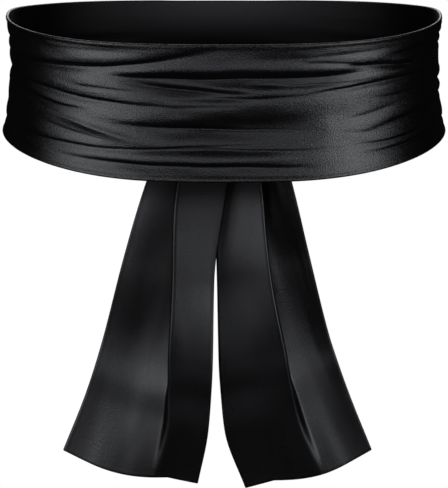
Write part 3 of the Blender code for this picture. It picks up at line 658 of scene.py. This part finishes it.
def tail_middle(sections, tail, depth, side):
    """Middle of a tail's cloth and its plan normals, with the distances across the cloth."""
    fine = np.linspace(0, tail.width, 1071)
    step = fine[1] - fine[0]
    easing = np.ones(2 * round(tail.fold_turn / 2 / step) + 1)
    easing = easing / len(easing)
    down = np.array([section.down for section in sections])
    edges = np.array([section[1:7] for section in sections], float) * MM
    headings = np.radians([section.outer + (section.pleat, section.pleat) + section.inner for section in sections])
    points = []
    normals = []
    places = []
    for share in np.linspace(0, 1, tail.rows + 1):
        outer_x, inner_x, outer_z, inner_z, back_fold, front_fold = smooth_read(down, edges, share)
        turn = min(tail.fold_turn, (front_fold - back_fold) / 2)
        outer_stops = (back_fold - turn) * np.array(OUTER_STOPS)
        inner_start = front_fold + turn
        inner_stops = inner_start + (tail.width - inner_start) * np.array(INNER_STOPS)
        stops = np.concatenate([outer_stops, [back_fold + turn, front_fold - turn], inner_stops])
        heading = np.interp(fine, stops, smooth_read(down, headings, share))
        padded = np.pad(heading, len(easing) // 2, mode="edge")
        heading = np.convolve(padded, easing, mode="valid")
        run_x = np.concatenate([[0], np.cumsum(np.cos(heading[:-1]) * step)])
        run_y = np.concatenate([[0], np.cumsum(np.sin(heading[:-1]) * step)])
        width = abs(inner_x - outer_x)
        run_x = run_x * width / run_x[-1]
        outer_middle = run_y[fine < outer_stops[-1]].mean()
        inner_middle = run_y[fine > inner_stops[0]].mean()
        run_y = run_y - (outer_middle + inner_middle) / 2
        across = [np.linspace(stops[i], stops[i + 1], count, endpoint=False)
                  for i, count in enumerate(TAIL_SPAN_COLUMNS)]
        across = np.append(np.concatenate(across), tail.width)
        x = np.interp(across, fine, run_x)
        y = np.interp(across, fine, run_y)
        turned = np.interp(across, fine, heading)
        along = np.clip(x / width, 0, 1)
        bow = HEM_BOW * share ** 2 * np.sin(np.pi * np.minimum(along / HEM_BOW_END, 1))
        z = TAIL_ROOT + outer_z + (inner_z - outer_z) * along - bow
        points.append(np.stack([outer_x - side * x, depth + y, z], -1))
        normals.append(np.stack([-side * np.sin(turned), -np.cos(turned), np.zeros_like(x)], -1))
        places.append(across)
    return np.array(points), np.array(normals), np.array(places)


def tail_loops(sections, depth, side, tail, seed):
    """Closed sections of one tail, from its root in the knot to its hem."""
    middle, normals, across = tail_middle(sections, tail, depth, side)
    down = np.linspace(0, 0.28, len(middle))[:, None]
    ripple = soft_noise(across / 0.022, down / 0.060 + 0 * across, seed)
    ripple = ripple + 0.35 * soft_noise(across / 0.009, down / 0.030 + 0 * across, seed + 1)
    ripple = ripple * smooth(down / 0.03)
    middle = middle + normals * (ripple * tail.ripple)[..., None]
    from_side = np.minimum(across, tail.width - across)
    from_hem = down[-1] - down
    from_edge = np.minimum(from_side, from_hem)
    bead = tail.bead * np.exp(-(from_edge / tail.bead_width) ** 2) * smooth(down / 0.01)
    half = ((tail.wall + bead) / 2)[..., None]
    front = middle + normals * half
    back = middle - normals * half
    outwards = middle[:, 0] - middle[:, 1]
    outwards = outwards / np.linalg.norm(outwards, axis=1)[:, None]
    inwards = middle[:, -1] - middle[:, -2]
    inwards = inwards / np.linalg.norm(inwards, axis=1)[:, None]
    outer_rim = middle[:, 0] + outwards * half[:, 0]
    inner_rim = middle[:, -1] + inwards * half[:, -1]
    loops = np.concatenate([front, inner_rim[:, None], back[:, ::-1], outer_rim[:, None]], axis=1)
    centre = np.concatenate([middle, middle[:, -1:], middle[:, ::-1], middle[:, :1]], axis=1)
    drop = centre[-1] - centre[-2]
    drop = drop / np.linalg.norm(drop, axis=1)[:, None] * half.max()
    hem = centre[-1] + (loops[-1] - centre[-1]) * 0.75 + drop * 0.66
    tip = centre[-1] + (loops[-1] - centre[-1]) * 0.2 + drop
    loops = np.concatenate([loops, hem[None], tip[None]])
    ridge = np.concatenate([ripple, ripple[:, -1:], -ripple[:, ::-1], ripple[:, :1]], axis=1)
    ridge = np.concatenate([ridge, ridge[-1:], ridge[-1:]]) * tail.ripple
    return loops, ridge


def strip_cap(start, count):
    """Faces that close a flat section: its first half is the front, its second half the back."""
    columns = count // 2 - 1
    faces = []
    for i in range(columns - 1):
        faces.append((start + i, start + i + 1, start + 2 * columns - i - 1, start + 2 * columns - i))
    faces.append((start + columns - 1, start + columns, start + columns + 1))
    faces.append((start + 2 * columns, start + 2 * columns + 1, start))
    return faces


def cloth_piece(name, loops, ridge, joined, caps, finish, dull_side_and_painted_light=None):
    """Object of one piece of cloth, from closed loops of points and the faces that close its ends."""
    rows, columns = loops.shape[:2]
    row = np.arange(rows if joined else rows - 1)[:, None]
    column = np.arange(columns)[None, :]
    following = (column + 1) % columns
    above = (row + 1) % rows
    corners = [row * columns + column, row * columns + following, above * columns + following, above * columns + column]
    quads = np.stack(corners, -1).reshape(-1, 4)
    points = loops.reshape(-1, 3)
    a, b, c, d = (points[quads[:, i]] for i in range(4))
    volume = (a * (np.cross(b, c) + np.cross(c, d))).sum()

    along = np.linalg.norm(np.roll(loops, -1, axis=1) - loops, axis=2).mean(0)
    along = np.concatenate([[0], np.cumsum(along)])
    steps = np.linalg.norm(np.roll(loops, -1, axis=0) - loops, axis=2).mean(1)
    steps = np.concatenate([[0], np.cumsum(steps)])
    u = [steps[row] + 0 * column, steps[row] + 0 * column, steps[row + 1] + 0 * column, steps[row + 1] + 0 * column]
    v = [along[column] + 0 * row, along[column + 1] + 0 * row, along[column + 1] + 0 * row, along[column] + 0 * row]
    places = np.stack([np.stack(u, -1), np.stack(v, -1)], -1).reshape(-1, 4, 2)
    faces = [tuple(quad) for quad in quads.tolist()]
    if volume < 0:
        faces = [tuple(reversed(face)) for face in faces]
        places = places[:, ::-1]
    else:
        caps = [tuple(reversed(cap)) for cap in caps]
    cap_count = sum(len(cap) for cap in caps)

    mesh = bpy.data.meshes.new(name)
    mesh.from_pydata(points.tolist(), [], faces + caps)
    layer = mesh.uv_layers.new(name="cloth")
    spots = np.concatenate([places.reshape(-1, 2), np.zeros((cap_count, 2))])
    layer.data.foreach_set("uv", spots.ravel())
    heights = ridge.reshape(-1)
    reach = np.abs(heights).max() + 1e-9
    mark = mesh.attributes.new("ridge", "FLOAT", "POINT")
    mark.data.foreach_set("value", (0.5 + 0.5 * heights / reach).astype(np.float32))
    # This attribute is 0 on the satin and 1 on the band's dull reverse side. It rises to 2 where that inside is painted
    # paler as painted light. On the tails' fronts it carries the painted shadow under the band
    if dull_side_and_painted_light is not None:
        mark = mesh.attributes.new("dull side and painted light", "FLOAT", "POINT")
        mark.data.foreach_set("value", dull_side_and_painted_light.reshape(-1).astype(np.float32))
    mesh.shade_smooth()
    mesh.materials.append(finish)
    mesh.update()
    piece = bpy.data.objects.new(name, mesh)
    bpy.context.scene.collection.objects.link(piece)
    return piece


class Number:
    """A number socket of a node tree, so that maths on it reads as an expression."""

    def __init__(self, board, socket):
        self.board = board
        self.socket = socket

    def _math(self, operation, first, second):
        node = self.board.node("ShaderNodeMath", {"operation": operation}, {0: first, 1: second})
        return Number(self.board, node.outputs[0])

    def __add__(self, other):
        return self._math("ADD", self, other)

    def __radd__(self, other):
        return self._math("ADD", other, self)

    def __sub__(self, other):
        return self._math("SUBTRACT", self, other)

    def __rsub__(self, other):
        return self._math("SUBTRACT", other, self)

    def __mul__(self, other):
        return self._math("MULTIPLY", self, other)

    def __rmul__(self, other):
        return self._math("MULTIPLY", other, self)


class Board:
    """The nodes of one material or world."""

    def __init__(self, tree):
        self.tree = tree
        tree.nodes.clear()

    def node(self, kind, settings=None, sockets=None):
        """A node of a kind, with its settings set first and then its sockets' values or links."""
        node = self.tree.nodes.new(kind)
        for key, value in (settings or {}).items():
            setattr(node, key, value)
        for key, value in (sockets or {}).items():
            place = node.inputs[key] if isinstance(key, int) else self.place(node, key)
            if isinstance(value, Number):
                self.tree.links.new(value.socket, place)
            elif isinstance(value, bpy.types.NodeSocket):
                self.tree.links.new(value, place)
            else:
                place.default_value = value
        return node

    @staticmethod
    def place(node, key):
        """A node's input by its identifier or name."""
        return next(socket for socket in node.inputs if key in (socket.identifier, socket.name))

    def number(self, socket):
        """A socket as a number that takes part in expressions."""
        return Number(self, socket)


def satin_finish(name, satin, roughness, grain_height, slub_height, crumple_height, has_dull_side_and_painted_light=False):
    """Black satin: the weave's sparkle and threads, long slubs, and lustre; the colour is paler on the folds' ridges
    and darker in their grooves, partly rubbed threads and partly painted sheen and painted shade.
    """
    material = bpy.data.materials.new(name)
    material.use_nodes = True
    board = Board(material.node_tree)
    cloth = board.node("ShaderNodeUVMap", {"uv_map": "cloth"}).outputs["UV"]

    def stretched(along, across):
        scale = (1 / along, 1 / across, 1)
        return board.node("ShaderNodeVectorMath", {"operation": "MULTIPLY"}, {0: cloth, 1: scale}).outputs[0]

    def noise(along, across, detail):
        settings = {"noise_dimensions": "2D"}
        sockets = {"Vector": stretched(along, across), "Scale": 1.0, "Detail": detail, "Roughness": 0.55}
        return board.number(board.node("ShaderNodeTexNoise", settings, sockets).outputs[0])

    sparkle = noise(satin.grain * 1.25, satin.grain, 1.0)
    slubs = noise(0.014, satin.grain * 1.3, 2.0)
    crumple = noise(0.011, 0.008, 2.0)
    patches = noise(0.045, 0.028, 2.0)
    threads = board.node(
        "ShaderNodeTexWave", {"wave_type": "BANDS", "bands_direction": "DIAGONAL"},
        {"Vector": stretched(satin.thread * 6, satin.thread * 6), "Scale": 1.0, "Distortion": 0.6, "Detail": 1.0})
    weave = board.number(threads.outputs["Fac"])
    ridge = board.number(board.node("ShaderNodeAttribute", {"attribute_name": "ridge"}).outputs["Fac"])

    height = sparkle * grain_height + slubs * slub_height + crumple * crumple_height + weave * 0.000006
    bump = board.node("ShaderNodeBump", {}, {"Strength": 1.0, "Distance": 1.0, "Height": height})
    # Painted sheen and shade: the ridge mark lifts the colour on the folds' ridges and lets it sink in their grooves,
    # on top of the random patches and slubs
    wear_and_fold_shade = 0.15 + ridge * 0.55 + (patches - 0.5) * 0.5 + (slubs - 0.5) * 0.35
    colour = board.node(
        "ShaderNodeMix", {"data_type": "RGBA", "clamp_factor": True},
        {"Factor_Float": wear_and_fold_shade, "A_Color": (*satin.deep, 1), "B_Color": (*satin.worn_and_sheen, 1)})
    rough = roughness + (patches - 0.5) * 0.09 + (sparkle - 0.5) * 0.30 - (ridge - 0.5) * 0.06

    def side(colour, rough, gloss):
        return board.node("ShaderNodeBsdfPrincipled", {}, {
            "Base Color": colour,
            "Roughness": rough,
            "Normal": bump.outputs["Normal"],
            "Metallic": 0.0,
            "Specular IOR Level": gloss,
            "Specular Tint": (*satin.lustre, 1),
        }).outputs[0]

    shader = side(colour.outputs[2], rough, 0.55)
    # Mixes in the dull reverse side and, through the same attribute, the painted light inside the band and the painted
    # shadow at the tails' tops
    if has_dull_side_and_painted_light:
        wrong = board.number(board.node("ShaderNodeAttribute", {"attribute_name": "dull side and painted light"}).outputs["Fac"])
        # Painted light on the band's inside; on the tails this mix stays black
        inside_painted_light = board.node(
            "ShaderNodeMix", {"data_type": "RGBA", "clamp_factor": True},
            {"Factor_Float": wrong - 1, "A_Color": (*satin.deep, 1), "B_Color": (*satin.inside_painted_light, 1)})
        dull = side(inside_painted_light.outputs[2], rough + 0.25, 0.09)
        shader = board.node("ShaderNodeMixShader", {}, {0: wrong, 1: shader, 2: dull}).outputs[0]
    board.node("ShaderNodeOutputMaterial", {}, {"Surface": shader})
    return material


def dress(piece, node):
    """Puts a piece of cloth in a solid's place."""
    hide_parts(node)
    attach(piece, "root")


class SASH_OT_band(bpy.types.Operator):
    """Make the gathered band of the sash"""

    bl_idname = "sash.make_band"
    bl_label = "Make the band"

    def execute(self, context):
        band = context.scene.sash_band
        satin = context.scene.sash_satin
        loops, ridge, dull_side_and_painted_light = band_loops(band)
        finish = satin_finish(
            "gathered satin", satin, satin.band_roughness, satin.grain_height, 0.00003, 0.00003, True)
        piece = cloth_piece("band_satin", loops, ridge, True, [], finish, dull_side_and_painted_light)
        dress(piece, "waist_band")
        return {"FINISHED"}


class SASH_OT_knot(bpy.types.Operator):
    """Make the knot at the back of the sash"""

    bl_idname = "sash.make_knot"
    bl_label = "Make the knot"

    def execute(self, context):
        satin = context.scene.sash_satin
        loops, ridge = knot_loops(context.scene.sash_knot)
        count = loops.shape[1]
        last = (len(loops) - 1) * count
        caps = [tuple(range(count)), tuple(reversed(range(last, last + count)))]
        finish = satin_finish("knotted satin", satin, satin.band_roughness, satin.grain_height, 0.00003, 0.00005)
        piece = cloth_piece("knot_satin", loops, ridge, False, caps, finish)
        dress(piece, "back_knot")
        return {"FINISHED"}


class SASH_OT_tails(bpy.types.Operator):
    """Make the two hanging tails of the sash"""

    bl_idname = "sash.make_tails"
    bl_label = "Make the tails"

    def execute(self, context):
        tail = context.scene.sash_tail
        satin = context.scene.sash_satin
        finish = satin_finish("hanging satin", satin, satin.tail_roughness, satin.grain_height * 0.4, 0.00001, 0.00002, True)
        sides = (
            ("left", LEFT_TAIL, LEFT_TAIL_DEPTH, -1, 21),
            ("right", RIGHT_TAIL, RIGHT_TAIL_DEPTH, 1, 31),
        )
        for name, sections, depth, side, seed in sides:
            loops, ridge = tail_loops(sections, depth, side, tail, seed)
            count = loops.shape[1]
            last = (len(loops) - 1) * count
            root = strip_cap(0, count)
            hem = [tuple(reversed(face)) for face in strip_cap(last, count)]
            # Painted shadow under the band: the tops of the tails' fronts are mixed towards the dull black side
            shade = SHADE_MOST * smooth((loops[..., 2] - SHADE_LOWEST) / SHADE_FADE)
            shade[:, count // 2:] = 0.0
            piece = cloth_piece(f"tail_{name}_satin", loops, ridge, False, root + hem, finish, shade)
            dress(piece, f"tail_{name}")
        return {"FINISHED"}


def softbox(name, azimuth, distance, size, height, power, tilt=0.0):
    """A soft rectangular light that faces the sash from an azimuth."""
    light = bpy.data.lights.new(name, "AREA")
    light.shape = "RECTANGLE"
    light.size, light.size_y = size
    light.energy = power
    lamp = bpy.data.objects.new(name, light)
    bpy.context.scene.collection.objects.link(lamp)
    turn = math.radians(azimuth)
    lamp.location = (distance * math.sin(turn), -distance * math.cos(turn), height)
    lamp.rotation_euler = (math.radians(90 - tilt), 0, turn)
    lamp.visible_camera = False
    return lamp


class SASH_OT_studio(bpy.types.Operator):
    """Make the studio round the sash: floor, lights and camera"""

    bl_idname = "sash.make_studio"
    bl_label = "Make the studio"

    def execute(self, context):
        scene = context.scene
        studio = scene.sash_studio
        softbox("left light", -45, 1.6, (1.1, 1.4), 0.30, studio.key_power)
        softbox("right light", 44, 1.6, (0.75, 1.4), 0.30, studio.key_power * 0.9)
        softbox("fill light", 0, 1.7, (0.9, 1.1), 0.30, studio.fill_power)
        softbox("back light", 180, 1.3, (2.2, 0.9), 1.30, studio.back_power, 45)
        softbox("rear fill", 180, 1.7, (0.8, 0.8), 0.30, studio.rear_power)

        size = 6.0
        corners = [(-size, -size), (size, -size), (size, size), (-size, size)]
        mesh = bpy.data.meshes.new("floor")
        mesh.from_pydata([(x, y, -studio.floor_drop) for x, y in corners], [], [(0, 1, 2, 3)])
        floor = bpy.data.objects.new("floor", mesh)
        scene.collection.objects.link(floor)
        paint = bpy.data.materials.new("pale floor")
        paint.use_nodes = True
        board = Board(paint.node_tree)
        glow = board.node("ShaderNodeEmission", {}, {"Color": (1, 1, 1, 1), "Strength": 1.0})
        board.node("ShaderNodeOutputMaterial", {}, {"Surface": glow.outputs[0]})
        mesh.materials.append(paint)
        floor.visible_glossy = False
        floor.visible_diffuse = False

        world = bpy.data.worlds.new("studio")
        world.use_nodes = True
        board = Board(world.node_tree)
        seen = board.node("ShaderNodeLightPath").outputs["Is Camera Ray"]
        room = board.node("ShaderNodeBackground", {}, {"Color": (1, 1, 1, 1), "Strength": studio.ambient})
        paper = board.node("ShaderNodeBackground", {}, {"Color": (1, 1, 1, 1), "Strength": 1.0})
        mix = board.node("ShaderNodeMixShader", {}, {0: seen, 1: room.outputs[0], 2: paper.outputs[0]})
        board.node("ShaderNodeOutputWorld", {}, {"Surface": mix.outputs[0]})
        scene.world = world
        scene.view_settings.view_transform = "Standard"

        lens = bpy.data.cameras.new("camera")
        lens.sensor_width = 36.0
        lens.lens = 212.8
        lens.clip_end = 20.0
        camera = bpy.data.objects.new("camera", lens)
        camera.location = (0.0, -1.8, 0.2865)
        camera.rotation_euler = (math.radians(77.5), 0.0, 0.0)
        scene.collection.objects.link(camera)
        scene.camera = camera
        return {"FINISHED"}


class SASH_PT_panel(bpy.types.Panel):
    """Sizes, colours and pieces of the sash"""

    bl_label = "Satin waist sash"
    bl_idname = "SASH_PT_panel"
    bl_space_type = "VIEW_3D"
    bl_region_type = "UI"
    bl_category = "Sash"

    def draw(self, context):
        layout = self.layout
        for key, (settings, operator) in GROUPS.items():
            box = layout.box()
            group = getattr(context.scene, key)
            for name in settings.__annotations__:
                box.prop(group, name)
            if operator:
                box.operator(operator.bl_idname)


GROUPS = {
    "sash_satin": (SatinSettings, None),
    "sash_band": (BandSettings, SASH_OT_band),
    "sash_knot": (KnotSettings, SASH_OT_knot),
    "sash_tail": (TailSettings, SASH_OT_tails),
    "sash_studio": (StudioSettings, SASH_OT_studio),
}


def register():
    """Registers the settings, the operators and the panel."""
    for key, (settings, operator) in GROUPS.items():
        bpy.utils.register_class(settings)
        setattr(bpy.types.Scene, key, PointerProperty(type=settings))
        if operator:
            bpy.utils.register_class(operator)
    bpy.utils.register_class(SASH_PT_panel)


def unregister():
    """Takes them out again."""
    bpy.utils.unregister_class(SASH_PT_panel)
    for key, (settings, operator) in reversed(GROUPS.items()):
        if operator:
            bpy.utils.unregister_class(operator)
        delattr(bpy.types.Scene, key)
        bpy.utils.unregister_class(settings)


def main():
    """Builds the sash and its studio."""
    register()
    bpy.ops.sash.make_band()
    bpy.ops.sash.make_knot()
    bpy.ops.sash.make_tails()
    bpy.ops.sash.make_studio()


if __name__ == "__main__":
    main()
